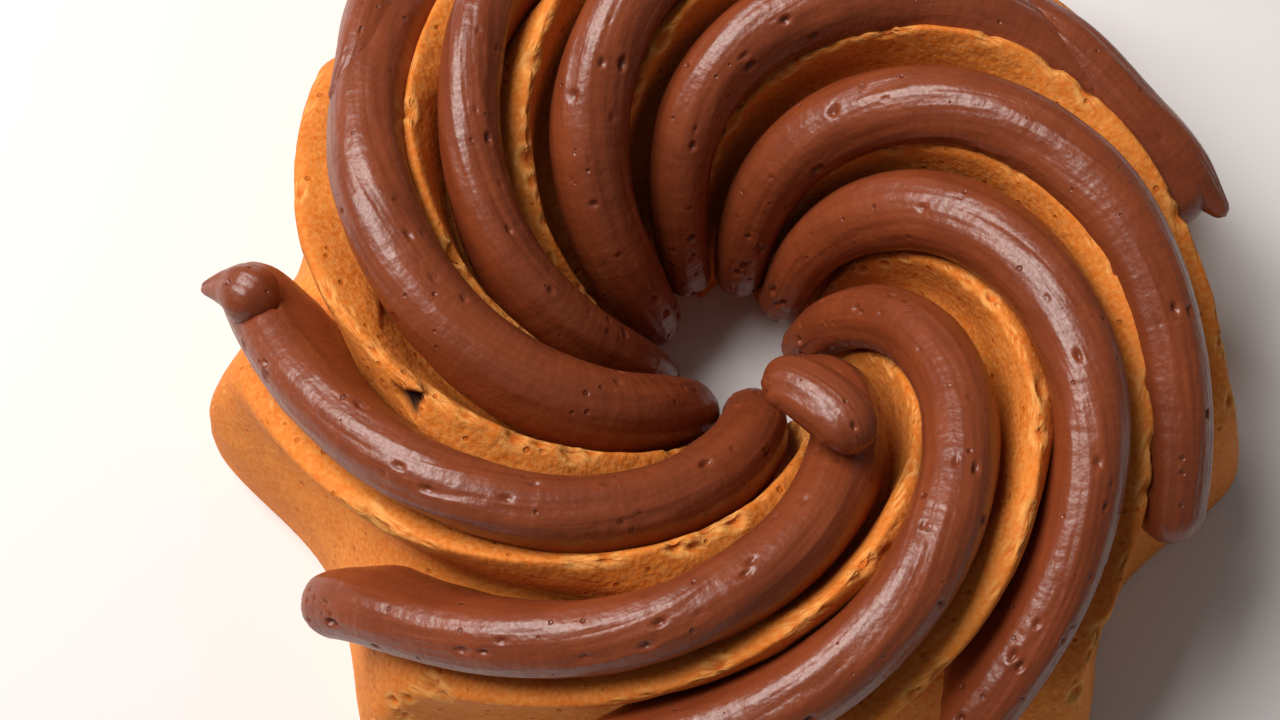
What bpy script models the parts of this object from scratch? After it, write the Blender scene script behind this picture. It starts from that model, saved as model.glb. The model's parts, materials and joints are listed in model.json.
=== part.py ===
"""A ring cake with nine folds that swirl from the foot to the centre hole, and a rope of chocolate
frosting laid in each groove between them.

Metres, +Z up. The flat underside is at z = 0. Everything is worked out round the hole's axis, and
is then moved level, by a few millimetres, to centre the whole object's box over the origin. The
cake is one solid. Each rope is a solid of its own that rests in its groove.
"""

import math
from collections import namedtuple

import bpy
import numpy as np

MM = 0.001

# The cake, measured over the crests of its folds.
FOLDS = 9
OUTER_RADIUS = 121.5 * MM
TOP_RADIUS = 74.6 * MM
HEIGHT = 77.5 * MM
HOLE_RADIUS = 20.5 * MM
OUTER_POWER = 1.72
INNER_POWER = 1.86

# The swirl, in degrees and in shares of the profile from 0 at the foot to 1 in the hole. The folds
# rise straight up the side, turn over the top and drop straight into the hole.
SWIRL_START = 152.0
SWIRL_TURN = 130.5
SWIRL_FROM = 0.08
SWIRL_TO = 0.87
FOOT_TURN = 14.0
FOOT_BLEND = 4.0

# How far each crest leans round from even spacing, in degrees.
CREST_LEANS = (1.5, 3.7, 2.9, 2.3, 1.5, 0.0, -2.4, -3.0, -0.3)

# Groove depth below the crests at the foot, halfway up, on top and in the hole.
DEPTH_FOOT = 17.0 * MM
DEPTH_SIDE = 18.0 * MM
DEPTH_TOP = 14.0 * MM
DEPTH_HOLE = 4.0 * MM
CREST_ROUNDING = 0.16

# Edges that turn less than this are shaded smooth.
SMOOTH_BELOW = math.radians(50.0)

# Mesh steps.
STEPS_PER_FOLD = 8
STEPS_UP = 24
ROPE_RINGS = 18
ROPE_SIDES = 10

# The thin gap between a rope and the skin that it rests on.
REST_GAP = 0.8 * MM

# How far down its groove a rope reaches, as a share of the groove's depth.
FILLED = 0.85

# A step square to the crest profile, that shows which way is up from a rope's middle line.
UP_STEP = 4.0 * MM

# The middle of a rope lies level with the crests, and above them where it drops into the hole.
RISE_AT_HOLE = 5.0 * MM

# Each rope of frosting: its name, where it starts and ends along the profile, and, at even steps
# from its outer to its inner end, the turn of its line in degrees, its lift over the crests and its
# half width, both in millimetres.
Rope = namedtuple("Rope", "name start end turns lifts halves")
LEVEL = (0, 0, 0, 0, 0, 0)
SUNK_OUTSIDE = (-3, -5, -2.5, 0, 0, 0)
ROPES = (
    Rope("frosting_rope_1", 0.285, 0.93,
         (4.5, 2.2, 5.5, 4.0, 1.0, 1.5), LEVEL, (7.4, 7.2, 7.7, 8.1, 7.1, 5.8)),
    Rope("frosting_rope_2", 0.24, 0.925,
         (12.7, 5.8, 4.2, 1.2, 0.6, 1.0), LEVEL, (6.9, 7.1, 7.4, 8.0, 6.8, 5.2)),
    Rope("frosting_rope_3", 0.27, 0.935,
         (0.7, 0.7, -0.9, -1.5, -2.4, -2.0), LEVEL, (7.8, 7.7, 7.6, 7.6, 6.6, 5.2)),
    Rope("frosting_rope_4", 0.27, 0.935,
         (3.0, 0.6, -0.5, 0.1, 0.3, 0.0), LEVEL, (6.6, 6.8, 8.2, 8.7, 6.8, 5.2)),
    Rope("frosting_rope_5", 0.285, 0.925,
         (-5.1, -8.0, -4.3, -4.0, -3.0, -2.8), LEVEL, (7.0, 7.5, 8.3, 8.5, 7.2, 5.6)),
    Rope("frosting_rope_6", 0.295, 0.91,
         (-5.4, -5.4, -4.6, -2.4, -4.0, -4.0), SUNK_OUTSIDE, (7.0, 7.4, 8.6, 7.6, 6.4, 5.2)),
    Rope("frosting_rope_7", 0.27, 0.935,
         (-3.0, -3.0, -3.9, -5.3, -3.2, -4.0), LEVEL, (8.2, 8.2, 8.0, 8.6, 7.6, 5.6)),
    Rope("frosting_rope_8", 0.28, 0.95,
         (-1.5, -1.5, -2.4, 1.0, 2.0, 2.0), LEVEL, (6.6, 6.6, 6.4, 6.5, 5.9, 4.8)),
    Rope("frosting_rope_9", 0.29, 0.96,
         (-8.0, -8.2, -4.4, 0.0, 1.5, 1.5), LEVEL, (7.8, 8.2, 8.2, 8.8, 7.0, 5.4)),
)


def crest_profile():
    """Radius and height over the crests, at even steps of length from the foot to the hole."""
    turn = np.linspace(0.0, math.pi, 721)
    cosine = np.abs(np.cos(turn))
    sine = np.clip(np.sin(turn), 0.0, 1.0)
    outer = turn <= math.pi / 2
    radius = np.where(
        outer,
        TOP_RADIUS + (OUTER_RADIUS - TOP_RADIUS) * cosine ** (2 / OUTER_POWER),
        TOP_RADIUS - (TOP_RADIUS - HOLE_RADIUS) * cosine ** (2 / INNER_POWER),
    )
    power = np.where(outer, 2 / OUTER_POWER, 2 / INNER_POWER)
    height = HEIGHT * sine**power
    run = np.concatenate([[0.0], np.cumsum(np.hypot(np.diff(radius), np.diff(height)))])
    along = np.linspace(0.0, 1.0, 401)
    share = run / run[-1]
    return along, np.interp(along, share, radius), np.interp(along, share, height)


ALONG, CREST_R, CREST_Z = crest_profile()


def groove_depth(along):
    """Depth of a groove, square to the crest profile."""
    stops = (0.0, 0.25, 0.52, 0.78, 1.0)
    depths = (DEPTH_FOOT, DEPTH_SIDE, DEPTH_TOP, 0.75 * DEPTH_TOP, DEPTH_HOLE)
    return smooth_between(along, stops, depths)


def smooth_between(along, stops, values):
    """Runs through the values with no corner at a stop."""
    along = np.asarray(along, float)
    found = np.full(along.shape, float(values[-1]))
    for i in reversed(range(len(stops) - 1)):
        share = np.clip((along - stops[i]) / (stops[i + 1] - stops[i]), 0.0, 1.0)
        eased = share * share * (3.0 - 2.0 * share)
        here = values[i] + (values[i + 1] - values[i]) * eased
        found = np.where(along <= stops[i + 1], here, found)
    return found


def through(share, values):
    """A smooth curve through values at even steps, for shares from 0 to 1."""
    values = np.asarray(values, float)
    padded = np.concatenate([[2 * values[0] - values[1]], values, [2 * values[-1] - values[-2]]])
    at = np.clip(np.asarray(share, float), 0.0, 1.0) * (len(values) - 1)
    low = np.minimum(at.astype(int), len(values) - 2)
    part = at - low
    a, b, c, d = (padded[low + i] for i in range(4))
    bend = a * -0.5 + b * 1.5 - c * 1.5 + d * 0.5
    turn = a - b * 2.5 + c * 2.0 - d * 0.5
    return ((bend * part + turn) * part + (c - a) * 0.5) * part + b


def twist(along):
    """Turn of the swirl in radians, counterclockwise seen from above."""
    share = np.clip((along - SWIRL_FROM) / (SWIRL_TO - SWIRL_FROM), 0.0, 1.0)
    turn = SWIRL_TURN * (1.0 - np.cos(math.pi * share)) / 2
    held = FOOT_TURN + FOOT_BLEND * np.log1p(np.exp((turn - FOOT_TURN) / FOOT_BLEND))
    return np.radians(SWIRL_START + held)


def crest_lean(angle):
    """The lean in radians at this angle, counted round from the middle of the first groove."""
    at = [(k + 0.5) * 2 * math.pi / FOLDS for k in range(-1, FOLDS + 1)]
    leans = [math.radians(CREST_LEANS[k % FOLDS]) for k in range(-1, FOLDS + 1)]
    return np.interp(angle, at, leans)


def profile_at(along, depth):
    """Radius and height of the profile, this far under the crests."""
    radius = np.interp(along, ALONG, CREST_R)
    height = np.interp(along, ALONG, CREST_Z)
    slope_r = np.interp(along, ALONG, np.gradient(CREST_R, ALONG))
    slope_z = np.interp(along, ALONG, np.gradient(CREST_Z, ALONG))
    length = np.hypot(slope_r, slope_z)
    return radius - depth * slope_z / length, height + depth * slope_r / length


def fold_shape(phase):
    """1 on a crest, where the phase is 0, falling to 0 in the middle of a groove, where it is 1."""
    eased = np.sqrt(phase**2 + CREST_ROUNDING**2) - CREST_ROUNDING
    eased = eased / (math.sqrt(1 + CREST_ROUNDING**2) - CREST_ROUNDING)
    return 1.0 - np.sin(math.pi / 2 * eased)


def cake_point(along, angle):
    """A point of the cake's skin. The angle counts round from the middle of the first groove."""
    step = 2 * math.pi / FOLDS
    phase = np.abs((angle / step) % 1.0 - 0.5) * 2.0
    depth = groove_depth(along) * (1.0 - fold_shape(phase))
    radius, height = profile_at(along, depth)
    turn = angle + crest_lean(angle) + twist(along)
    return np.stack([radius * np.cos(turn), radius * np.sin(turn), np.maximum(height, 0.0)], -1)


def material(name, colour, roughness):
    made = bpy.data.materials.new(name)
    made.use_nodes = True
    shader = made.node_tree.nodes["Principled BSDF"]
    shader.inputs["Base Color"].default_value = (*colour, 1.0)
    shader.inputs["Roughness"].default_value = roughness
    made.diffuse_color = (*colour, 1.0)
    return made


def solid(name, points, faces, look):
    mesh = bpy.data.meshes.new(name)
    mesh.from_pydata([tuple(point) for point in points], [], faces)
    mesh.update()
    mesh.shade_smooth()
    mesh.set_sharp_from_angle(angle=SMOOTH_BELOW)
    made = bpy.data.objects.new(name, mesh)
    made.data.materials.append(look)
    bpy.context.scene.collection.objects.link(made)
    return made


def outward(points):
    """Unit normals of the skin's grid of points."""
    along = np.gradient(points, axis=0)
    around = np.roll(points, -1, axis=1) - np.roll(points, 1, axis=1)
    normal = np.cross(around, along)
    return normal / np.linalg.norm(normal, axis=2)[..., None]


def make_skin(name, gap, look):
    """The cake as one closed mesh, its skin moved out by this gap."""
    around = FOLDS * STEPS_PER_FOLD
    angles = np.arange(around) * 2 * math.pi / around
    rows = np.linspace(0.0, 1.0, STEPS_UP + 1)
    grid_along, grid_angle = np.meshgrid(rows, angles, indexing="ij")
    points = cake_point(grid_along, grid_angle)
    points += gap * outward(points)
    points[0, :, 2] = 0.0
    points[-1, :, 2] = 0.0
    faces = []
    for row in range(STEPS_UP):
        for i in range(around):
            j = (i + 1) % around
            a, b = row * around + i, row * around + j
            c, d = b + around, a + around
            faces.extend([(a, b, c), (a, c, d)])
    # The flat underside joins the foot to the hole's edge, each point to the one nearest its angle.
    shift = round(float(twist(1.0) - twist(0.0)) / (2 * math.pi / around))
    last = STEPS_UP * around
    for i in range(around):
        j = (i + 1) % around
        inner_i = last + (i - shift) % around
        inner_j = last + (j - shift) % around
        faces.append((j, i, inner_i, inner_j))
    return solid(name, points.reshape(-1, 3), faces, look)


def near_hole(along):
    """0 over the top, and 1 where a rope drops into the hole."""
    return smooth_between(along, (0.0, 0.5, 0.88), (0.0, 0.0, 1.0))


def rope_line(index, along, below):
    """Points of a rope's middle line, moved this far towards the cake."""
    rope = ROPES[index]
    share = (along - rope.start) / (rope.end - rope.start)
    lift = through(share, rope.lifts) * MM + RISE_AT_HOLE * near_hole(along)
    radius, height = profile_at(along, below - lift)
    turn = twist(along) + np.radians(through(share, rope.turns)) + index * 2 * math.pi / FOLDS
    return np.stack([radius * np.cos(turn), radius * np.sin(turn), height], -1)


def make_rope(index, cutter, look):
    rope = ROPES[index]
    share = np.linspace(0.0, 1.0, ROPE_RINGS)
    share = share - 0.05 * np.sin(2 * math.pi * share)
    along = rope.start + (rope.end - rope.start) * share
    halves = through(share, rope.halves) * MM
    line = rope_line(index, along, 0.0)
    run = np.concatenate([[0.0], np.cumsum(np.linalg.norm(np.diff(line, axis=0), axis=1))])
    from_end = np.minimum(run, run[-1] - run)
    rounding = np.sqrt(1.0 - (1.0 - np.clip(from_end / halves, 0.03, 1.0)) ** 2)
    size = halves * rounding
    below = np.maximum(FILLED * groove_depth(along), halves) * rounding
    ahead = np.gradient(line, axis=0)
    ahead /= np.linalg.norm(ahead, axis=1)[:, None]
    up = line - rope_line(index, along, UP_STEP)
    side = np.cross(ahead, up)
    side /= np.linalg.norm(side, axis=1)[:, None]
    up = np.cross(side, ahead)
    sides = np.arange(ROPE_SIDES) * 2 * math.pi / ROPE_SIDES
    upper = np.cos(sides)[None, :] > 0
    rise = np.cos(sides)[None, :] * np.where(upper, size[:, None], below[:, None])
    narrowing = np.where(upper, 1.0, 1.0 - 0.3 * np.cos(sides)[None, :] ** 2)
    spread = np.sin(sides)[None, :] * size[:, None] * narrowing
    rings = line[:, None] + rise[..., None] * up[:, None] + spread[..., None] * side[:, None]
    points = rings.reshape(-1, 3)
    faces = []
    for row in range(ROPE_RINGS - 1):
        for i in range(ROPE_SIDES):
            j = (i + 1) % ROPE_SIDES
            a, b = row * ROPE_SIDES + i, row * ROPE_SIDES + j
            faces.append((a, b, b + ROPE_SIDES, a + ROPE_SIDES))
    faces.append(tuple(reversed(range(ROPE_SIDES))))
    faces.append(tuple((ROPE_RINGS - 1) * ROPE_SIDES + i for i in range(ROPE_SIDES)))
    made = solid(rope.name, points, faces, look)
    fit = made.modifiers.new("fit_to_groove", "BOOLEAN")
    fit.operation = "DIFFERENCE"
    fit.solver = "MANIFOLD"
    fit.object = cutter
    return made


def centre_on_box():
    """Shifts everything so that the whole object's box is centred over the origin."""
    objects = list(bpy.context.scene.collection.objects)
    visible = [one for one in objects if not one.hide_render]
    points = np.array([vertex.co for one in visible for vertex in one.data.vertices])
    middle = (points.min(axis=0) + points.max(axis=0)) / 2
    for one in objects:
        one.location = (-middle[0], -middle[1], 0.0)


def main():
    for old in list(bpy.data.objects):
        bpy.data.objects.remove(old)
    crust = material("crust", (0.52, 0.22, 0.055), 0.75)
    make_skin("cake", 0.0, crust)
    cutter = make_skin("groove_cutter", REST_GAP, crust)
    cutter.hide_render = True
    cutter.display_type = "WIRE"
    for index in range(FOLDS):
        look = material(f"frosting_{index + 1}", (0.115, 0.04, 0.024), 0.4)
        make_rope(index, cutter, look)
    centre_on_box()


main()
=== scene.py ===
"""A ring cake with swirled folds and a thick rope of chocolate frosting laid in each groove.

Lengths are metres and the cake stands on z = 0. Places on the cake are given as a share of its
profile, from 0 at the foot over the top to 1 in the hole, and as a turn round the hole.
"""

import json
import math
from collections import namedtuple

import bpy
import numpy as np
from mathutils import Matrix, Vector

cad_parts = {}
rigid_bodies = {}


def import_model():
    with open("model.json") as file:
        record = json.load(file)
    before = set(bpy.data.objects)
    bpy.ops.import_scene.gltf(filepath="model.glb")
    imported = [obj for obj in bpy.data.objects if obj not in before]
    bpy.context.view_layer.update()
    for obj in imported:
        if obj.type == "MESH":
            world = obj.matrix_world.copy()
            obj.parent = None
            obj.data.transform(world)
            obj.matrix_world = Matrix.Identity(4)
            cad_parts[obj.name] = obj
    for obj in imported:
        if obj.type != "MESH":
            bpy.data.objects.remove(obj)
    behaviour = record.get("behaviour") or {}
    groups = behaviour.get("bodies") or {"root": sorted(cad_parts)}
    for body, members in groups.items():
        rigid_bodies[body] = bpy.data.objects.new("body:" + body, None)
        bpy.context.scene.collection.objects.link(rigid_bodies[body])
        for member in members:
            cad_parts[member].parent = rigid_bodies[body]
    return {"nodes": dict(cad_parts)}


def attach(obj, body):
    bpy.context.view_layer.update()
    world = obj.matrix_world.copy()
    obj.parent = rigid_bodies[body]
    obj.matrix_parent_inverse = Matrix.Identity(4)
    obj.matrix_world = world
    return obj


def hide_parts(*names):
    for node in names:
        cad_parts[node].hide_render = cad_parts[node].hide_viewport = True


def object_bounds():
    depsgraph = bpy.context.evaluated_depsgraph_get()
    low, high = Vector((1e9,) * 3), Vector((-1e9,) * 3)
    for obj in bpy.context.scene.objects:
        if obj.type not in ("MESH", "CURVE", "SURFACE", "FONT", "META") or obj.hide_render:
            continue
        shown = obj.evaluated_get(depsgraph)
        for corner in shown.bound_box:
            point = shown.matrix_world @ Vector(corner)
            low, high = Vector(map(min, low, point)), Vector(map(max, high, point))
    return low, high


bl_info = {
    "name": "Swirled Ring Cake",
    "version": (1, 0, 0),
    "blender": (4, 5, 0),
    "location": "View3D > Sidebar > Ring Cake",
    "description": "Builds a ring cake with swirled folds and ropes of chocolate frosting",
    "category": "Add Mesh",
}

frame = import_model()
CAD_LOW, CAD_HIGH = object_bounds()

MM = 0.001
FOLDS = sum(name.startswith("frosting_rope") for name in frame["nodes"])
FOLD_TURN = 2 * math.pi / FOLDS

# The hole's axis stands a little to one side of the middle of the whole cake's box.
HOLE_AXIS = np.array((0.877, 1.577, 0.0)) * MM

# The profile over the crests bulges more than an ellipse by these powers.
OUTER_POWER = 1.72
INNER_POWER = 1.86

# Shares of the profile between which the folds swirl, and the turn before which they stand straight.
SWIRL_FROM = 0.08
SWIRL_TO = 0.87
FOOT_TURN = 14.0
FOOT_BLEND = 4.0

# How far each crest leans round from even spacing, in degrees.
CREST_LEANS = (1.5, 3.7, 2.9, 2.3, 1.5, 0.0, -2.4, -3.0, -0.3)

# Groove depths that aren't settings: at the foot and in the hole.
DEPTH_FOOT = 17.0 * MM
DEPTH_HOLE = 4.0 * MM

# The ropes rise over the crests where they drop into the hole.
RISE_AT_HOLE = 5.0 * MM

# A step square to the crest profile, that shows which way is up from a rope's middle line.
UP_STEP = 4.0 * MM

# A rope of frosting: where it starts and ends along the profile, and, at even steps from its outer
# to its inner end, the turn of its line in degrees, its lift over the crests and its half width,
# both in millimetres. The seed draws its lumps and its air holes.
Rope = namedtuple("Rope", "start end turns lifts halves seed")
LEVEL = (0, 0, 0, 0, 0, 0)
SUNK_OUTSIDE = (-3, -5, -2.5, 0, 0, 0)
ROPES = (
    Rope(0.285, 0.93,
         (4.5, 2.2, 5.5, 4.0, 1.0, 1.5), LEVEL, (7.4, 7.2, 7.7, 8.1, 7.1, 5.8), 11),
    Rope(0.225, 0.925,
         (10.3, 5.8, 4.2, 1.2, 0.6, 1.0), LEVEL, (6.9, 7.1, 7.4, 8.0, 6.8, 5.2), 12),
    Rope(0.27, 0.935,
         (0.7, 0.7, -0.9, -1.5, -2.4, -2.0), LEVEL, (7.8, 7.7, 7.6, 7.6, 6.6, 5.2), 13),
    Rope(0.27, 0.935,
         (3.0, 0.6, -0.5, 0.1, 0.3, 0.0), LEVEL, (6.6, 6.8, 8.2, 8.7, 6.8, 5.2), 14),
    Rope(0.285, 0.925,
         (-5.1, -8.0, -4.3, -4.0, -3.0, -2.8), LEVEL, (7.0, 7.5, 8.3, 8.5, 7.2, 5.6), 15),
    Rope(0.295, 0.91,
         (-5.4, -5.4, -4.6, -2.4, -4.0, -4.0), SUNK_OUTSIDE, (7.0, 7.4, 8.6, 7.6, 6.4, 5.2), 16),
    Rope(0.27, 0.935,
         (-3.0, -3.0, -3.9, -5.3, -3.2, -4.0), LEVEL, (8.2, 8.2, 8.0, 8.6, 7.6, 5.6), 17),
    Rope(0.28, 0.95,
         (-1.5, -1.5, -2.4, 1.0, 2.0, 2.0), LEVEL, (6.6, 6.6, 6.4, 6.5, 5.9, 4.8), 18),
    Rope(0.29, 0.96,
         (-8.0, -8.2, -4.4, 0.0, 1.5, 1.5), LEVEL, (7.8, 8.2, 8.2, 8.8, 7.0, 5.4), 19),
)

# Further frosting piled onto a rope, by number: its middle line in millimetres from the foot of the
# hole's axis, its half widths at even steps along that line, and a seed.
Dab = namedtuple("Dab", "rope line halves seed")
DABS = (
    Dab(1, ((-96, -9, 67), (-102, -5, 67), (-107, -3, 65), (-113, -2, 62)), (5.0, 6.4, 4.0, 0.8), 31),
    Dab(2, ((6, -28, 72), (11, -29, 77), (17, -34, 80), (21, -39, 81), (23, -44, 79)),
        (5.0, 6.0, 6.6, 6.2, 4.0), 32),
    Dab(6, ((60, 62, 68), (73, 51, 68), (86, 38, 64), (98, 27, 59), (108, 18, 54)),
        (5.5, 7.5, 7.6, 6.4, 1.6), 33),
    Dab(9, ((-74, 74, 62), (-77, 65, 68), (-79, 54, 72), (-81, 44, 75), (-85, 35, 75)),
        (6.0, 6.4, 5.8, 4.2, 1.4), 34),
)

# Large burst bubbles on the crests: the share of the profile, the fold, how far the bubble lies from
# the crest line as a share of half a fold, and its radius in millimetres.
BUBBLES = (
    (0.590, 0, 0.08, 2.2), (0.545, 0, 0.08, 2.0), (0.427, 1, -0.08, 2.0), (0.515, 1, 0.17, 1.7),
    (0.508, 1, 0.03, 2.4), (0.593, 5, -0.02, 2.6), (0.628, 5, 0.02, 2.0), (0.615, 6, 0.03, 2.6),
    (0.550, 6, 0.0, 2.3), (0.478, 7, -0.02, 2.2), (0.568, 7, 0.05, 2.8), (0.70, 4, 0.0, 1.8),
    (0.55, 4, 0.03, 1.8), (0.45, 4, -0.02, 1.9), (0.60, 2, 0.05, 1.9), (0.50, 2, 0.0, 2.0),
    (0.55, 3, 0.03, 1.9), (0.65, 3, 0.0, 1.7),
)

# A three-cornered tear in the crust, and the crack that runs from it to the crest, given as for a
# bubble.
TEAR = (0.490, 8, 0.23, 3.3)
CRACK = ((0.488, 8, 0.16, 0.6), (0.487, 8, 0.12, 0.6), (0.488, 8, 0.08, 0.6), (0.490, 8, 0.04, 0.6))

# Mesh steps. Columns crowd together at the crests, where the bubbles are, and the sides of a rope
# crowd together on its upper half.
CAKE_ROWS = 270
COLUMNS_PER_FOLD = 40
CREST_CROWDING = 0.62
ROPE_RINGS = 400
ROPE_SIDES = 72
TOP_CROWDING = 0.35
DAB_RINGS = 70

# Shape of a pit: how steep its wall is, and its rim's place, width and height against the pit's size.
PIT_STEEPNESS = 0.8
RIM_AT = 1.12
RIM_WIDTH = 0.22
RIM_HEIGHT = 0.10

# How many rows and columns from its middle a pit can reach.
CAKE_PIT_REACH = 7
ROPE_PIT_REACH = 5

# Bubbles scattered along a crest: their spread in columns, the radius in millimetres of the smallest
# and how much larger the rest can be.
BUBBLE_SPREAD = 2.4
SMALLEST_BUBBLE = 0.8
LARGER_BUBBLE = 1.7

# Half the breadth of the browner line along a crest, as a share of half a fold, and how
# three-cornered the tear is.
CREST_LINE = 0.22
TEAR_CORNERS = 0.3

# Unevenness of the crust: height in millimetres, size of a lump, and seed.
CRUST_LUMPS = ((0.55, 24 * MM, 1), (0.22, 7 * MM, 2), (0.09, 2.6 * MM, 3))

# Lumps of a rope: height in millimetres, stretch along and across it, shift, and step of its seed.
ROPE_LUMPS = (
    (0.42, (1.0, 1.0, 1.0), 0.0, 0),
    (0.20, (2.6, 2.2, 2.2), 7.0, 20),
    (0.10, (1.6, 6.5, 6.5), 3.0, 40),
    (0.05, (12.0, 8.0, 8.0), 5.0, 60),
)
LUMP_LENGTH = 30 * MM
LUMPS_ROUND = 1.6

# A rope's top is a little flattened, its lower half narrows, and its underside reaches the bottom
# of the groove this far in from its ends.
FLAT_TOP = 0.93
NARROWING_BELOW = 0.3
FULL_DEPTH_AT = 16 * MM

# How round an end is at its tip, and how far rings crowd together at the two ends.
BLUNT_TIP = 0.004
END_CROWDING = 0.05

# Air holes in each rope and in each dab, the radius in millimetres of the smallest and how much
# larger the rest can be.
HOLES_PER_ROPE = 34
HOLES_PER_DAB = 3
SMALLEST_HOLE = 0.45
LARGER_HOLE = 0.75

# The stage, in metres. The camera looks at a point given from the foot of the hole's axis.
FLOOR_REACH = 6.0
KEY_AT = (-0.66, 0.34, 1.10)
KEY_SIZE = (0.8, 0.8)
KEY_TINT = (1.0, 0.97, 0.94)
SKY_TINT = (1.0, 0.985, 0.97, 1.0)
CAMERA_TARGET = Vector((-20.07, -10.36, 40.0)) * MM

# The colour sockets of a Mix node, which come after its sockets for numbers and vectors.
MIX_FIRST = 6
MIX_SECOND = 7
MIX_RESULT = 2

# Painted shade for the inside of the tear in the crust: near black, where the deep hole lies in shadow.
TORN_SHADE = (0.03, 0.01, 0.005, 1.0)


# ---------------------------------------------------------------- settings


class RingCakeShape(bpy.types.PropertyGroup):
    outer_radius: bpy.props.FloatProperty(
        name="Outer radius", description="Radius over the crests at the foot",
        default=121.5 * MM, min=0.05, subtype="DISTANCE", unit="LENGTH")
    top_radius: bpy.props.FloatProperty(
        name="Top radius", description="Radius of the highest line of the ring",
        default=74.6 * MM, min=0.02, subtype="DISTANCE", unit="LENGTH")
    hole_radius: bpy.props.FloatProperty(
        name="Hole radius", description="Radius of the centre hole at the underside",
        default=20.5 * MM, min=0.005, subtype="DISTANCE", unit="LENGTH")
    height: bpy.props.FloatProperty(
        name="Height", description="Height of the crests on top of the ring",
        default=77.5 * MM, min=0.02, subtype="DISTANCE", unit="LENGTH")
    swirl_start: bpy.props.FloatProperty(
        name="Swirl start", description="Turn of the first groove at the foot",
        default=math.radians(152.0), subtype="ANGLE", unit="ROTATION")
    swirl_turn: bpy.props.FloatProperty(
        name="Swirl turn", description="How far a fold turns from the foot to the hole",
        default=math.radians(130.5), subtype="ANGLE", unit="ROTATION")
    side_depth: bpy.props.FloatProperty(
        name="Side groove depth", description="Depth of the grooves halfway up the side",
        default=18.0 * MM, min=0.0, subtype="DISTANCE", unit="LENGTH")
    top_depth: bpy.props.FloatProperty(
        name="Top groove depth", description="Depth of the grooves on top",
        default=14.0 * MM, min=0.0, subtype="DISTANCE", unit="LENGTH")
    crest_rounding: bpy.props.FloatProperty(
        name="Crest rounding", description="How broad a crest is, as a share of half a fold",
        default=0.12, min=0.01, max=0.5, subtype="FACTOR")
    bubbles_per_crest: bpy.props.IntProperty(
        name="Bubbles per crest", description="Burst bubbles along each crest",
        default=46, min=0)


class RingCakeColours(bpy.types.PropertyGroup):
    crust: bpy.props.FloatVectorProperty(
        name="Crust", description="Golden crust where it is evenly baked",
        default=(0.84, 0.232, 0.026), subtype="COLOR", min=0.0, max=1.0)
    # The deep crust colour is also painted as shade in the bowls of the bubbles.
    crust_deep: bpy.props.FloatVectorProperty(
        name="Deep crust", description="Crust where it baked darker",
        default=(0.60, 0.120, 0.010), subtype="COLOR", min=0.0, max=1.0)
    crust_pale: bpy.props.FloatVectorProperty(
        name="Pale crust", description="Thin rims round the bubbles and torn edges",
        default=(0.97, 0.52, 0.15), subtype="COLOR", min=0.0, max=1.0)
    frosting: bpy.props.FloatVectorProperty(
        name="Frosting", description="Milk chocolate frosting",
        default=(0.27, 0.057, 0.017), subtype="COLOR", min=0.0, max=1.0)
    # The deep frosting colour is also painted as shade in the air holes and pores; the darker streaks
    # are the frosting's own tone.
    frosting_deep: bpy.props.FloatVectorProperty(
        name="Deep frosting", description="Frosting in its darker streaks and pores",
        default=(0.13, 0.022, 0.006), subtype="COLOR", min=0.0, max=1.0)
    floor: bpy.props.FloatVectorProperty(
        name="Floor", description="Plain pale floor",
        default=(0.86, 0.84, 0.83), subtype="COLOR", min=0.0, max=1.0)


class RingCakeStage(bpy.types.PropertyGroup):
    lens: bpy.props.FloatProperty(
        name="Lens", description="Focal length of the camera in millimetres",
        default=61.9, min=10.0)
    tilt: bpy.props.FloatProperty(
        name="Camera height angle", description="How steeply the camera looks down",
        default=math.radians(70.48), subtype="ANGLE", unit="ROTATION")
    distance: bpy.props.FloatProperty(
        name="Camera distance", description="From the camera to the point it looks at",
        default=484.7 * MM, min=0.05, subtype="DISTANCE", unit="LENGTH")
    key_power: bpy.props.FloatProperty(
        name="Key light", description="Power of the large soft light",
        default=21.0, min=0.0, subtype="POWER", unit="POWER")
    sky: bpy.props.FloatProperty(
        name="Fill", description="Strength of the even light from all round",
        default=0.11, min=0.0)


# ---------------------------------------------------------------- form of the cake


def smooth_between(along, stops, values):
    """Runs through the values with no corner at a stop."""
    along = np.asarray(along, float)
    found = np.full(along.shape, float(values[-1]))
    for i in reversed(range(len(stops) - 1)):
        share = np.clip((along - stops[i]) / (stops[i + 1] - stops[i]), 0.0, 1.0)
        eased = share * share * (3.0 - 2.0 * share)
        here = values[i] + (values[i + 1] - values[i]) * eased
        found = np.where(along <= stops[i + 1], here, found)
    return found


def through(share, values):
    """A smooth curve through values at even steps, for shares from 0 to 1."""
    values = np.asarray(values, float)
    padded = np.concatenate([[2 * values[0] - values[1]], values, [2 * values[-1] - values[-2]]])
    at = np.clip(np.asarray(share, float), 0.0, 1.0) * (len(values) - 1)
    low = np.minimum(at.astype(int), len(values) - 2)
    part = at - low
    a, b, c, d = (padded[low + i] for i in range(4))
    bend = a * -0.5 + b * 1.5 - c * 1.5 + d * 0.5
    turn = a - b * 2.5 + c * 2.0 - d * 0.5
    return ((bend * part + turn) * part + (c - a) * 0.5) * part + b


def lattice_noise(points, seed):
    """Smooth noise from -1 to 1 at these points, one lattice cell to a unit."""
    size = 48
    table = np.random.default_rng(seed).uniform(-1.0, 1.0, (size, size, size))
    low = np.floor(points).astype(int)
    part = points - low
    part = part * part * part * (part * (part * 6.0 - 15.0) + 10.0)
    found = 0.0
    for corner in np.ndindex(2, 2, 2):
        at = (low + corner) % size
        weight = np.prod(np.where(corner, part, 1.0 - part), axis=-1)
        found = found + weight * table[at[..., 0], at[..., 1], at[..., 2]]
    return found


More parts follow.
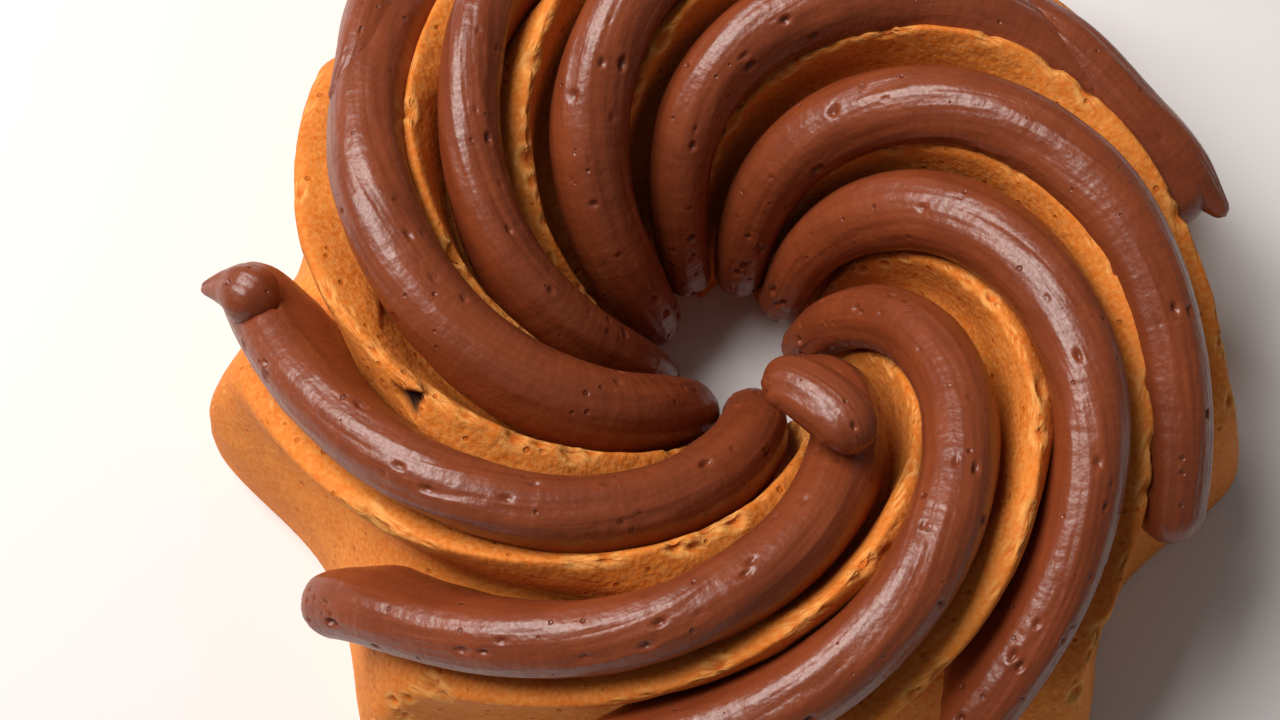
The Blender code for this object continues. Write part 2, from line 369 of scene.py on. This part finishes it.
class SwirlForm:
    """The swirled form that the cake and its ropes share."""

    def __init__(self, shape):
        self.shape = shape
        turn = np.linspace(0.0, math.pi, 721)
        cosine = np.abs(np.cos(turn))
        sine = np.clip(np.sin(turn), 0.0, 1.0)
        outer = turn <= math.pi / 2
        outer_reach = shape.outer_radius - shape.top_radius
        inner_reach = shape.top_radius - shape.hole_radius
        radius = np.where(
            outer,
            shape.top_radius + outer_reach * cosine ** (2 / OUTER_POWER),
            shape.top_radius - inner_reach * cosine ** (2 / INNER_POWER),
        )
        height = shape.height * sine ** np.where(outer, 2 / OUTER_POWER, 2 / INNER_POWER)
        run = np.concatenate([[0.0], np.cumsum(np.hypot(np.diff(radius), np.diff(height)))])
        self.along = np.linspace(0.0, 1.0, 401)
        self.radius = np.interp(self.along, run / run[-1], radius)
        self.height = np.interp(self.along, run / run[-1], height)
        self.slope_r = np.gradient(self.radius, self.along)
        self.slope_z = np.gradient(self.height, self.along)

    def groove_depth(self, along):
        """Depth of a groove, square to the crest profile."""
        top = self.shape.top_depth
        depths = (DEPTH_FOOT, self.shape.side_depth, top, 0.75 * top, DEPTH_HOLE)
        return smooth_between(along, (0.0, 0.25, 0.52, 0.78, 1.0), depths)

    def twist(self, along):
        """Turn of the swirl in radians, counterclockwise seen from above."""
        share = np.clip((along - SWIRL_FROM) / (SWIRL_TO - SWIRL_FROM), 0.0, 1.0)
        turn = math.degrees(self.shape.swirl_turn) * (1.0 - np.cos(math.pi * share)) / 2
        held = FOOT_TURN + FOOT_BLEND * np.log1p(np.exp((turn - FOOT_TURN) / FOOT_BLEND))
        return self.shape.swirl_start + np.radians(held)

    def profile_at(self, along, depth):
        """Radius and height of the profile, this far under the crests."""
        radius = np.interp(along, self.along, self.radius)
        height = np.interp(along, self.along, self.height)
        slope_r = np.interp(along, self.along, self.slope_r)
        slope_z = np.interp(along, self.along, self.slope_z)
        length = np.hypot(slope_r, slope_z)
        return radius - depth * slope_z / length, height + depth * slope_r / length

    def fold_shape(self, phase):
        """1 on a crest and 0 in the middle of a groove, for a phase of 0 and of 1."""
        rounding = self.shape.crest_rounding
        eased = np.sqrt(phase**2 + rounding**2) - rounding
        eased = eased / (math.sqrt(1 + rounding**2) - rounding)
        return 1.0 - np.sin(math.pi / 2 * eased)

    def skin_point(self, along, angle):
        """A point of the cake. The angle counts round from the middle of the first groove."""
        phase = np.abs((angle / FOLD_TURN) % 1.0 - 0.5) * 2.0
        depth = self.groove_depth(along) * (1.0 - self.fold_shape(phase))
        radius, height = self.profile_at(along, depth)
        turn = angle + crest_lean(angle) + self.twist(along)
        flat = [radius * np.cos(turn), radius * np.sin(turn), np.maximum(height, 0.0)]
        return np.stack(flat, -1) + HOLE_AXIS

    def rope_line(self, index, along, below):
        """Points of a rope's middle line, moved this far towards the cake."""
        rope = ROPES[index]
        share = (along - rope.start) / (rope.end - rope.start)
        turn = through(share, rope.turns)
        lift = through(share, rope.lifts) * MM + RISE_AT_HOLE * near_hole(along)
        radius, height = self.profile_at(along, below - lift)
        turn = self.twist(along) + np.radians(turn) + index * FOLD_TURN
        return np.stack([radius * np.cos(turn), radius * np.sin(turn), height], -1) + HOLE_AXIS


def crest_lean(angle):
    """The lean in radians at this angle, counted round from the middle of the first groove."""
    at = [(k + 0.5) * FOLD_TURN for k in range(-1, FOLDS + 1)]
    leans = [math.radians(CREST_LEANS[k % FOLDS]) for k in range(-1, FOLDS + 1)]
    return np.interp(angle, at, leans)


def near_hole(along):
    """0 over the top, and 1 where a rope drops into the hole."""
    return smooth_between(along, (0.0, 0.5, 0.88), (0.0, 0.0, 1.0))


# ---------------------------------------------------------------- mesh helpers


def grid_normals(points):
    """Unit normals of a grid of points, rows along and columns round."""
    along = np.gradient(points, axis=0)
    around = np.roll(points, -1, axis=1) - np.roll(points, 1, axis=1)
    normal = np.cross(around, along)
    length = np.linalg.norm(normal, axis=2)[..., None]
    return normal / np.maximum(length, 1e-12)


# A pit pressed into a grid of points: where its middle is, its radius along the grid's columns and
# across them, its depth, and how three-cornered it is.
Pit = namedtuple("Pit", "row column long wide depth corners", defaults=(0.0,))


def press_pits(points, normals, pits, reach):
    """Presses bowls with a slightly raised rim into a grid, and returns masks of bowls and rims."""
    rows, columns = points.shape[:2]
    bowl = np.zeros((rows, columns))
    rim = np.zeros((rows, columns))
    depth = np.zeros((rows, columns))
    for pit in pits:
        first = max(0, pit.row - reach)
        some_rows = np.arange(first, min(rows, pit.row + reach + 1))
        some_columns = np.arange(pit.column - reach, pit.column + reach + 1) % columns
        window = np.ix_(some_rows, some_columns)
        centre = points[pit.row, pit.column]
        ahead = points[min(rows - 1, pit.row + 1), pit.column] - centre
        ahead = ahead / max(np.linalg.norm(ahead), 1e-12)
        across = np.cross(normals[pit.row, pit.column], ahead)
        offset = points[window] - centre
        one, two = offset @ ahead / pit.long, offset @ across / pit.wide
        far = np.hypot(one, two) * (1.0 + pit.corners * np.cos(3.0 * np.arctan2(two, one)))
        inside = np.clip(1.0 - far**2, 0.0, 1.0) ** PIT_STEEPNESS
        edge = np.exp(-(((far - RIM_AT) / RIM_WIDTH) ** 2))
        depth[window] = np.maximum(depth[window], pit.depth * inside)
        depth[window] -= RIM_HEIGHT * pit.depth * edge * (depth[window] <= 0.0)
        bowl[window] = np.maximum(bowl[window], inside)
        rim[window] = np.maximum(rim[window], edge)
    points -= normals * depth[..., None]
    return bowl, rim


def mesh_object(name, points, faces, look):
    """A smooth-shaded object of these points and faces."""
    mesh = bpy.data.meshes.new(name)
    mesh.from_pydata(points.tolist(), [], faces)
    mesh.update()
    mesh.shade_smooth()
    made = bpy.data.objects.new(name, mesh)
    made.data.materials.append(look)
    bpy.context.scene.collection.objects.link(made)
    return made


def store(made, name, values):
    """Keeps a number for each point of the mesh, for its material to read."""
    kept = made.data.attributes.new(name, "FLOAT", "POINT")
    kept.data.foreach_set("value", np.asarray(values, np.float32).ravel())


def store_vector(made, name, values):
    """Keeps a vector for each point of the mesh, for its material to read."""
    kept = made.data.attributes.new(name, "FLOAT_VECTOR", "POINT")
    kept.data.foreach_set("vector", np.asarray(values, np.float32).ravel())


def grid_faces(rows, columns):
    """Quads of a grid whose columns close into a ring, facing out."""
    faces = []
    for row in range(rows - 1):
        start = row * columns
        for i in range(columns):
            j = (i + 1) % columns
            faces.append((start + i, start + j, start + columns + j, start + columns + i))
    return faces


# ---------------------------------------------------------------- materials


def node_group(name, inputs, outputs):
    """An empty shader group with these float or colour sockets, and its two end nodes."""
    group = bpy.data.node_groups.new(name, "ShaderNodeTree")
    for socket, kind, default in inputs:
        made = group.interface.new_socket(socket, in_out="INPUT", socket_type=kind)
        if default is not None:
            made.default_value = default
    for socket, kind in outputs:
        group.interface.new_socket(socket, in_out="OUTPUT", socket_type=kind)
    return group, group.nodes.new("NodeGroupInput"), group.nodes.new("NodeGroupOutput")


class Tree:
    """Short ways to add and join nodes of one shader tree."""

    def __init__(self, tree):
        self.nodes = tree.nodes
        self.links = tree.links

    def put(self, socket, value):
        """Joins another node's output to the socket, or sets the socket's own value."""
        if isinstance(value, bpy.types.NodeSocket):
            self.links.new(value, socket)
        elif value is not None:
            socket.default_value = value

    def math(self, operation, a, b=None, c=None):
        node = self.nodes.new("ShaderNodeMath")
        node.operation = operation
        for socket, value in zip(node.inputs, (a, b, c)):
            self.put(socket, value)
        return node.outputs[0]

    def scaled(self, vector, factors):
        node = self.nodes.new("ShaderNodeVectorMath")
        node.operation = "MULTIPLY"
        self.put(node.inputs[0], vector)
        self.put(node.inputs[1], factors)
        return node.outputs[0]

    def noise(self, vector, scale, detail=2.0, roughness=0.5):
        node = self.nodes.new("ShaderNodeTexNoise")
        self.put(node.inputs["Vector"], vector)
        self.put(node.inputs["Scale"], scale)
        self.put(node.inputs["Detail"], detail)
        self.put(node.inputs["Roughness"], roughness)
        return node.outputs["Fac"]

    def cells(self, vector, scale):
        """The distance to the nearest cell's middle, and that cell's own colour."""
        node = self.nodes.new("ShaderNodeTexVoronoi")
        self.put(node.inputs["Vector"], vector)
        self.put(node.inputs["Scale"], scale)
        return node.outputs["Distance"], node.outputs["Color"]

    def ramp(self, value, low, high):
        """0 below low and 1 above high, with a soft start and end."""
        node = self.nodes.new("ShaderNodeMapRange")
        node.interpolation_type = "SMOOTHSTEP"
        self.put(node.inputs["Value"], value)
        self.put(node.inputs["From Min"], low)
        self.put(node.inputs["From Max"], high)
        return node.outputs["Result"]

    def mix(self, share, a, b):
        """Colour a with this share of colour b mixed in."""
        node = self.nodes.new("ShaderNodeMix")
        node.data_type = "RGBA"
        self.put(node.inputs["Factor"], share)
        self.put(node.inputs[MIX_FIRST], a)
        self.put(node.inputs[MIX_SECOND], b)
        return node.outputs[MIX_RESULT]

    def attribute(self, name):
        node = self.nodes.new("ShaderNodeAttribute")
        node.attribute_name = name
        return node

    def bump(self, height, strength, distance):
        node = self.nodes.new("ShaderNodeBump")
        self.put(node.inputs["Height"], height)
        self.put(node.inputs["Strength"], strength)
        self.put(node.inputs["Distance"], distance)
        return node.outputs["Normal"]

    def group(self, tree, **values):
        """The outputs of a new group node, its inputs set by name."""
        node = self.nodes.new("ShaderNodeGroup")
        node.node_tree = tree
        for name, value in values.items():
            self.put(node.inputs[name.replace("_", " ").capitalize()], value)
        return node.outputs


def colour(value):
    """The opaque colour for a shader's socket."""
    return (*value, 1.0)


def mottle_group():
    """Soft uneven baking or mixing: a broad and a fine mask, from 0 to 1."""
    group, ins, outs = node_group(
        "mottle",
        [("Vector", "NodeSocketVector", None), ("Broad", "NodeSocketFloat", 60.0),
         ("Fine", "NodeSocketFloat", 900.0)],
        [("Broad mask", "NodeSocketFloat"), ("Fine mask", "NodeSocketFloat")],
    )
    tree = Tree(group)
    broad = tree.noise(ins.outputs["Vector"], ins.outputs["Broad"], 2.0, 0.6)
    fine = tree.noise(ins.outputs["Vector"], ins.outputs["Fine"], 1.0, 0.65)
    tree.put(outs.inputs["Broad mask"], tree.ramp(broad, 0.3, 0.7))
    tree.put(outs.inputs["Fine mask"], tree.ramp(fine, 0.25, 0.75))
    return group


def pores_group():
    """Sparse small holes: a mask that is 1 in a hole, and a height that is 0 there."""
    group, ins, outs = node_group(
        "pores",
        [("Vector", "NodeSocketVector", None), ("Scale", "NodeSocketFloat", 300.0),
         ("Share", "NodeSocketFloat", 0.2), ("Size", "NodeSocketFloat", 0.25)],
        [("Mask", "NodeSocketFloat"), ("Height", "NodeSocketFloat")],
    )
    tree = Tree(group)
    distance, tint = tree.cells(ins.outputs["Vector"], ins.outputs["Scale"])
    parts = tree.nodes.new("ShaderNodeSeparateColor")
    tree.put(parts.inputs[0], tint)
    chosen = tree.math("LESS_THAN", parts.outputs[0], ins.outputs["Share"])
    size = tree.math("MULTIPLY", ins.outputs["Size"], tree.math("ADD", parts.outputs[1], 0.35))
    inside = tree.math("DIVIDE", distance, size)
    hole = tree.math("SUBTRACT", 1.0, tree.ramp(inside, 0.55, 1.0))
    mask = tree.math("MULTIPLY", hole, chosen)
    tree.put(outs.inputs["Mask"], mask)
    tree.put(outs.inputs["Height"], tree.math("SUBTRACT", 1.0, mask))
    return group


def new_look(name, shown):
    """A new material, its tree and its Principled shader."""
    look = bpy.data.materials.new(name)
    look.use_nodes = True
    look.diffuse_color = colour(shown)
    return look, Tree(look.node_tree), look.node_tree.nodes["Principled BSDF"]


def crust_look(colours, mottle, pores):
    """Dull golden crust: fine crumb, dark specks, and bubbles with a deep bowl painted in shade and a
    pale rim.
    """
    look, tree, shader = new_look("golden_crust", colours.crust)
    place = tree.nodes.new("ShaderNodeTexCoord").outputs["Object"]
    masks = tree.group(mottle, vector=place, broad=45.0, fine=800.0)
    specks = tree.group(pores, vector=place, scale=330.0, share=0.25, size=0.26)
    torn = tree.attribute("torn").outputs["Fac"]
    bowl = tree.attribute("bowl").outputs["Fac"]
    rim = tree.attribute("rim").outputs["Fac"]
    crest = tree.attribute("crest").outputs["Fac"]
    deep, even, pale = map(colour, (colours.crust_deep, colours.crust, colours.crust_pale))
    shade = tree.mix(tree.math("MULTIPLY", masks["Broad mask"], 0.55), even, deep)
    lighter = tree.math("MULTIPLY", masks["Fine mask"], 0.34)
    shade = tree.mix(lighter, shade, pale)
    shade = tree.mix(tree.math("MULTIPLY", crest, 0.25), shade, deep)
    # Painted shade: the bowls of the bubbles are darkened towards the deep crust colour.
    shade = tree.mix(tree.math("MULTIPLY", bowl, 0.85), shade, deep)
    shade = tree.mix(tree.math("MULTIPLY", rim, 0.6), shade, pale)
    shade = tree.mix(tree.math("MULTIPLY", specks["Mask"], 0.75), shade, deep)
    # Painted shade: the inside of the tear is painted near black.
    shade = tree.mix(torn, shade, TORN_SHADE)
    tree.put(shader.inputs["Base Color"], shade)
    rough = tree.math("MULTIPLY_ADD", masks["Fine mask"], 0.18, 0.62)
    tree.put(shader.inputs["Roughness"], rough)
    shader.inputs["Specular IOR Level"].default_value = 0.15
    crumb = tree.noise(place, 850.0, 1.0, 0.5)
    lumps = tree.noise(place, 300.0, 1.0, 0.5)
    height = tree.math("MULTIPLY_ADD", crumb, 0.6, tree.math("MULTIPLY", lumps, 1.0))
    height = tree.math("MULTIPLY_ADD", specks["Height"], 0.9, height)
    tree.put(shader.inputs["Normal"], tree.bump(height, 0.6, 0.6 * MM))
    return look


def frosting_look(colours, mottle, pores):
    """Satin frosting: streaks along the rope, ripples across it, wrinkles, and air holes painted dark
    as shade.
    """
    look, tree, shader = new_look("milk_chocolate", colours.frosting)
    place = tree.nodes.new("ShaderNodeTexCoord").outputs["Object"]
    strand = tree.attribute("strand").outputs["Vector"]
    bowl = tree.attribute("bowl").outputs["Fac"]
    masks = tree.group(mottle, vector=place, broad=70.0, fine=1300.0)
    holes = tree.group(pores, vector=place, scale=330.0, share=0.16, size=0.22)
    drawn = tree.scaled(strand, (24.0, 650.0, 650.0))
    streaks = tree.noise(drawn, 1.0, 1.5, 0.5)
    dragged = tree.scaled(strand, (330.0, 55.0, 55.0))
    ripples = tree.noise(dragged, 1.0, 1.0, 0.5)
    even, deep = colour(colours.frosting), colour(colours.frosting_deep)
    shade = tree.mix(tree.math("MULTIPLY", masks["Broad mask"], 0.35), even, deep)
    shade = tree.mix(tree.math("MULTIPLY", tree.ramp(streaks, 0.4, 0.75), 0.3), shade, deep)
    # Painted shade: the pressed air holes and the shader's pores are darkened towards the deep frosting
    # colour.
    dark = tree.math("MAXIMUM", tree.math("MULTIPLY", bowl, 0.5), holes["Mask"])
    shade = tree.mix(tree.math("MULTIPLY", dark, 0.75), shade, deep)
    tree.put(shader.inputs["Base Color"], shade)
    rough = tree.math("MULTIPLY_ADD", masks["Fine mask"], 0.12, 0.29)
    tree.put(shader.inputs["Roughness"], rough)
    shader.inputs["Specular IOR Level"].default_value = 0.55
    wrinkles = tree.noise(place, 750.0, 1.0, 0.5)
    height = tree.math("MULTIPLY", streaks, 0.50)
    height = tree.math("MULTIPLY_ADD", ripples, 0.9, height)
    height = tree.math("MULTIPLY_ADD", wrinkles, 0.40, height)
    height = tree.math("MULTIPLY_ADD", holes["Height"], 1.6, height)
    tree.put(shader.inputs["Normal"], tree.bump(height, 0.5, 0.6 * MM))
    return look


def floor_look(colours):
    """Dull pale floor, very slightly clouded."""
    look, tree, shader = new_look("pale_floor", colours.floor)
    place = tree.nodes.new("ShaderNodeTexCoord").outputs["Object"]
    cloud = tree.noise(place, 3.0, 2.0, 0.5)
    pale = tuple(min(1.0, 1.03 * part) for part in colours.floor)
    shade = tree.mix(cloud, colour(colours.floor), colour(pale))
    tree.put(shader.inputs["Base Color"], shade)
    shader.inputs["Roughness"].default_value = 0.6
    return look


def look_named(name):
    """The material of this name, made with the others on first use."""
    if name not in bpy.data.materials:
        colours = bpy.context.scene.ring_cake_colours
        mottle, pores = mottle_group(), pores_group()
        crust_look(colours, mottle, pores)
        frosting_look(colours, mottle, pores)
        floor_look(colours)
    return bpy.data.materials[name]


# ---------------------------------------------------------------- cake


def crest_columns():
    """Angles of the mesh's columns, close together at each crest."""
    step = np.arange(COLUMNS_PER_FOLD) / COLUMNS_PER_FOLD
    crowd = CREST_CROWDING / (2 * math.pi)
    share = step + crowd * np.sin(2 * math.pi * step)
    return np.concatenate([(k + share) * FOLD_TURN for k in range(FOLDS)])


def bubble_pits(shape):
    """Burst bubbles scattered along the crests, most of them small."""
    pits = []
    middle = COLUMNS_PER_FOLD // 2
    for fold in range(FOLDS):
        draw = np.random.default_rng(100 + fold)
        for _ in range(shape.bubbles_per_crest):
            row = int(draw.uniform(0.06, 0.92) * CAKE_ROWS)
            column = fold * COLUMNS_PER_FOLD + middle + int(round(draw.normal(0.0, BUBBLE_SPREAD)))
            long = (SMALLEST_BUBBLE + LARGER_BUBBLE * draw.random() ** 2.2) * MM
            wide = long * draw.uniform(0.55, 0.95)
            pits.append(Pit(row, column, long, wide, wide * draw.uniform(0.5, 0.9)))
    return pits


def placed_pit(place, angles, corners=0.0):
    """A pit at a share of the profile, a fold, an offset from its crest and a radius in millimetres."""
    along, fold, offset, radius = place
    column = int(np.argmin(np.abs(angles - (fold + 0.5 + offset / 2) * FOLD_TURN)))
    radius *= MM
    return Pit(round(along * CAKE_ROWS), column, radius, 0.8 * radius, 0.8 * radius, corners)


class RINGCAKE_OT_add_cake(bpy.types.Operator):
    """Add the swirled ring of cake"""

    bl_idname = "ring_cake.add_cake"
    bl_label = "Add Cake"

    def execute(self, context):
        shape = context.scene.ring_cake_shape
        form = SwirlForm(shape)
        rows = np.linspace(0.0, 1.0, CAKE_ROWS + 1)
        angles = crest_columns()
        along, angle = np.meshgrid(rows, angles, indexing="ij")
        points = form.skin_point(along, angle)
        normals = grid_normals(points)
        held = smooth_between(along, (0.0, 0.03, 0.97, 1.0), (0.0, 1.0, 1.0, 0.0))
        uneven = sum(high * lattice_noise(points / size, seed) for high, size, seed in CRUST_LUMPS)
        points += normals * (uneven * held * MM)[..., None]
        normals = grid_normals(points)
        pits = bubble_pits(shape) + [placed_pit(place, angles) for place in BUBBLES + CRACK]
        bowl, rim = press_pits(points, normals, pits, CAKE_PIT_REACH)
        # The tear is pressed twice, which raises its rim twice as far.
        tears = [placed_pit(TEAR, angles, TEAR_CORNERS)] * 2
        torn, _ = press_pits(points, normals, tears, CAKE_PIT_REACH)
        points[0, :, 2] = 0.0
        points[-1, :, 2] = 0.0
        columns = len(angles)
        faces = grid_faces(CAKE_ROWS + 1, columns)
        # The flat underside joins the foot to the hole's edge.
        turned = float(form.twist(1.0) - form.twist(0.0)) / (2 * math.pi)
        shift = round(turned * columns)
        last = CAKE_ROWS * columns
        for i in range(columns):
            j = (i + 1) % columns
            inner_i = last + (i - shift) % columns
            inner_j = last + (j - shift) % columns
            faces.append((j, i, inner_i, inner_j))
        cake = mesh_object("cake_crumb", points.reshape(-1, 3), faces, look_named("golden_crust"))
        phase = np.abs((angle / FOLD_TURN) % 1.0 - 0.5) * 2.0
        store(cake, "bowl", bowl)
        store(cake, "rim", rim)
        store(cake, "torn", np.clip(1.6 * torn, 0.0, 1.0))
        store(cake, "crest", np.clip(1.0 - phase / CREST_LINE, 0.0, 1.0))
        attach(cake, "root")
        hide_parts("cake")
        return {"FINISHED"}


# ---------------------------------------------------------------- frosting


def frosting_tube(line, up_line, halves, below, seed):
    """Points of a round-ended rope: rings along the line, flattened a little, with drag marks."""
    run = np.concatenate([[0.0], np.cumsum(np.linalg.norm(np.diff(line, axis=0), axis=1))])
    from_end = np.minimum(run, run[-1] - run)
    rounding = np.sqrt(1.0 - (1.0 - np.clip(from_end / halves, BLUNT_TIP, 1.0)) ** 2)
    ahead = np.gradient(line, axis=0)
    ahead /= np.linalg.norm(ahead, axis=1)[:, None]
    side = np.cross(ahead, up_line)
    side /= np.linalg.norm(side, axis=1)[:, None]
    up = np.cross(side, ahead)
    step = np.arange(ROPE_SIDES) / ROPE_SIDES
    turn = 2 * math.pi * step - TOP_CROWDING * np.sin(2 * math.pi * step)
    size = (halves * rounding)[:, None]
    held = np.clip(from_end / FULL_DEPTH_AT, 0.0, 1.0)
    held = held * held * (3.0 - 2.0 * held)
    deep = halves + (np.maximum(below, halves) - halves) * held
    deep = (deep * rounding)[:, None]
    cosine, sine = np.cos(turn)[None, :], np.sin(turn)[None, :]
    circle = np.stack(np.broadcast_arrays(
        run[:, None] / LUMP_LENGTH, LUMPS_ROUND * cosine, LUMPS_ROUND * sine), -1)
    lumps = sum(
        high * lattice_noise(circle * stretch + shift, seed + step_on)
        for high, stretch, shift, step_on in ROPE_LUMPS
    )
    swell = 1.0 + lumps * rounding[:, None] * MM / np.maximum(size, 1.0 * MM)
    upper = cosine > 0
    rise = cosine * np.where(upper, FLAT_TOP * size, deep) * swell
    narrowing = np.where(upper, 1.0, 1.0 - NARROWING_BELOW * cosine**2)
    spread = sine * size * narrowing * swell
    rings = line[:, None] + rise[..., None] * up[:, None] + spread[..., None] * side[:, None]
    strand = np.stack(np.broadcast_arrays(run[:, None], cosine * size, sine * size), -1)
    return rings, strand


def frosting_pits(rings, sides, seed, count):
    """Small open air holes in the upper half of a rope."""
    draw = np.random.default_rng(seed + 300)
    pits = []
    for _ in range(count):
        row = int(draw.uniform(0.04, 0.96) * rings)
        column = int(draw.normal(0.0, sides * 0.14)) % sides
        wide = (SMALLEST_HOLE + LARGER_HOLE * draw.random() ** 2) * MM
        long = wide * draw.uniform(1.0, 1.9)
        pits.append(Pit(row, column, long, wide, wide * draw.uniform(0.7, 1.3)))
    return pits


def add_frosting(name, parts, node):
    """One object of one or more lengths of frosting, that stands for the CAD node."""
    points, faces, strands, bowls = [], [], [], []
    first = 0
    for rings, strand, seed, count in parts:
        rows, columns = rings.shape[:2]
        normals = grid_normals(rings)
        pits = frosting_pits(rows, columns, seed, count)
        bowl, _ = press_pits(rings, normals, pits, ROPE_PIT_REACH)
        block = grid_faces(rows, columns)
        block.append(tuple(reversed(range(columns))))
        block.append(tuple((rows - 1) * columns + i for i in range(columns)))
        faces.extend(tuple(first + corner for corner in face) for face in block)
        points.append(rings.reshape(-1, 3))
        strands.append(strand.reshape(-1, 3))
        bowls.append(bowl.ravel())
        first += rows * columns
    made = mesh_object(name, np.concatenate(points), faces, look_named("milk_chocolate"))
    store_vector(made, "strand", np.concatenate(strands))
    store(made, "bowl", np.concatenate(bowls))
    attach(made, "root")
    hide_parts(node)


def dab_part(dab):
    """The rings, strands, seed and number of holes of further frosting on a rope."""
    share = np.linspace(0.0, 1.0, DAB_RINGS)
    line = np.stack([through(share, part) for part in zip(*dab.line)], -1) * MM + HOLE_AXIS
    halves = through(share, dab.halves) * MM
    up_line = np.broadcast_to((0.0, 0.0, 1.0), line.shape)
    rings, strand = frosting_tube(line, up_line, halves, halves, dab.seed)
    return rings, strand, dab.seed, HOLES_PER_DAB


class RINGCAKE_OT_add_ropes(bpy.types.Operator):
    """Add the ropes of frosting, one in each groove"""

    bl_idname = "ring_cake.add_ropes"
    bl_label = "Add Frosting Ropes"

    def execute(self, context):
        form = SwirlForm(context.scene.ring_cake_shape)
        for index, rope in enumerate(ROPES):
            share = np.linspace(0.0, 1.0, ROPE_RINGS)
            share = share - END_CROWDING * np.sin(2 * math.pi * share)
            along = rope.start + (rope.end - rope.start) * share
            line = form.rope_line(index, along, 0.0)
            up_line = line - form.rope_line(index, along, UP_STEP)
            halves = through(share, rope.halves) * MM
            below = form.groove_depth(along)
            rings, strand = frosting_tube(line, up_line, halves, below, rope.seed)
            parts = [(rings, strand, rope.seed, HOLES_PER_ROPE)]
            parts += [dab_part(dab) for dab in DABS if dab.rope == index + 1]
            add_frosting(f"chocolate_rope_{index + 1}", parts, f"frosting_rope_{index + 1}")
        return {"FINISHED"}


# ---------------------------------------------------------------- stage


def aim(made, at, target):
    """Puts a light or camera at a place, pointing at the target."""
    made.location = at
    made.rotation_euler = (Vector(at) - Vector(target)).to_track_quat("Z", "Y").to_euler()


def area_light(name, at, target, size, power, tint):
    """A rectangular light pointed at the target."""
    light = bpy.data.lights.new(name, "AREA")
    light.shape = "RECTANGLE"
    light.size, light.size_y = size
    light.energy = power
    light.color = tint
    made = bpy.data.objects.new(name, light)
    bpy.context.scene.collection.objects.link(made)
    aim(made, at, target)


class RINGCAKE_OT_add_stage(bpy.types.Operator):
    """Add the floor, the soft studio light and the camera"""

    bl_idname = "ring_cake.add_stage"
    bl_label = "Add Stage"

    def execute(self, context):
        scene = context.scene
        stage = scene.ring_cake_stage
        corners = [(-1, -1), (1, -1), (1, 1), (-1, 1)]
        points = np.array([(FLOOR_REACH * x, FLOOR_REACH * y, CAD_LOW.z) for x, y in corners])
        floor = mesh_object("floor", points, [(0, 1, 2, 3)], look_named("pale_floor"))
        middle = Vector((0.0, 0.0, CAD_HIGH.z / 2))
        area_light("key", KEY_AT, middle, KEY_SIZE, stage.key_power, KEY_TINT)
        world = bpy.data.worlds.new("studio")
        world.use_nodes = True
        background = world.node_tree.nodes["Background"]
        background.inputs["Color"].default_value = SKY_TINT
        background.inputs["Strength"].default_value = stage.sky
        scene.world = world
        camera = bpy.data.objects.new("camera", bpy.data.cameras.new("camera"))
        scene.collection.objects.link(camera)
        camera.data.lens = stage.lens
        camera.data.clip_start = 0.01
        target = Vector(HOLE_AXIS) + CAMERA_TARGET
        back = Vector((0.0, -math.cos(stage.tilt), math.sin(stage.tilt)))
        aim(camera, target + back * stage.distance, target)
        scene.camera = camera
        scene.view_settings.view_transform = "Standard"
        return {"FINISHED"}


# ---------------------------------------------------------------- add-on


class RINGCAKE_PT_panel(bpy.types.Panel):
    """Sizes and colours of the cake, and a button for each piece"""

    bl_label = "Ring Cake"
    bl_idname = "RINGCAKE_PT_panel"
    bl_space_type = "VIEW_3D"
    bl_region_type = "UI"
    bl_category = "Ring Cake"

    def draw(self, context):
        for holder in ("ring_cake_shape", "ring_cake_colours", "ring_cake_stage"):
            settings = getattr(context.scene, holder)
            box = self.layout.box()
            for name in settings.bl_rna.properties.keys():
                if name not in ("rna_type", "name"):
                    box.prop(settings, name)
        for operator in OPERATORS:
            self.layout.operator(operator.bl_idname)


OPERATORS = (RINGCAKE_OT_add_cake, RINGCAKE_OT_add_ropes, RINGCAKE_OT_add_stage)
SETTINGS = {
    "ring_cake_shape": RingCakeShape,
    "ring_cake_colours": RingCakeColours,
    "ring_cake_stage": RingCakeStage,
}


def register():
    for made in (*SETTINGS.values(), *OPERATORS, RINGCAKE_PT_panel):
        bpy.utils.register_class(made)
    for name, settings in SETTINGS.items():
        setattr(bpy.types.Scene, name, bpy.props.PointerProperty(type=settings))


def unregister():
    for name in SETTINGS:
        delattr(bpy.types.Scene, name)
    for made in (RINGCAKE_PT_panel, *reversed(OPERATORS), *reversed(SETTINGS.values())):
        bpy.utils.unregister_class(made)


def main():
    register()
    for old in list(bpy.data.objects):
        if old.name in ("Cube", "Light", "Camera"):
            bpy.data.objects.remove(old)
    bpy.ops.ring_cake.add_stage()
    bpy.ops.ring_cake.add_cake()
    bpy.ops.ring_cake.add_ropes()


if __name__ == "__main__":
    main()
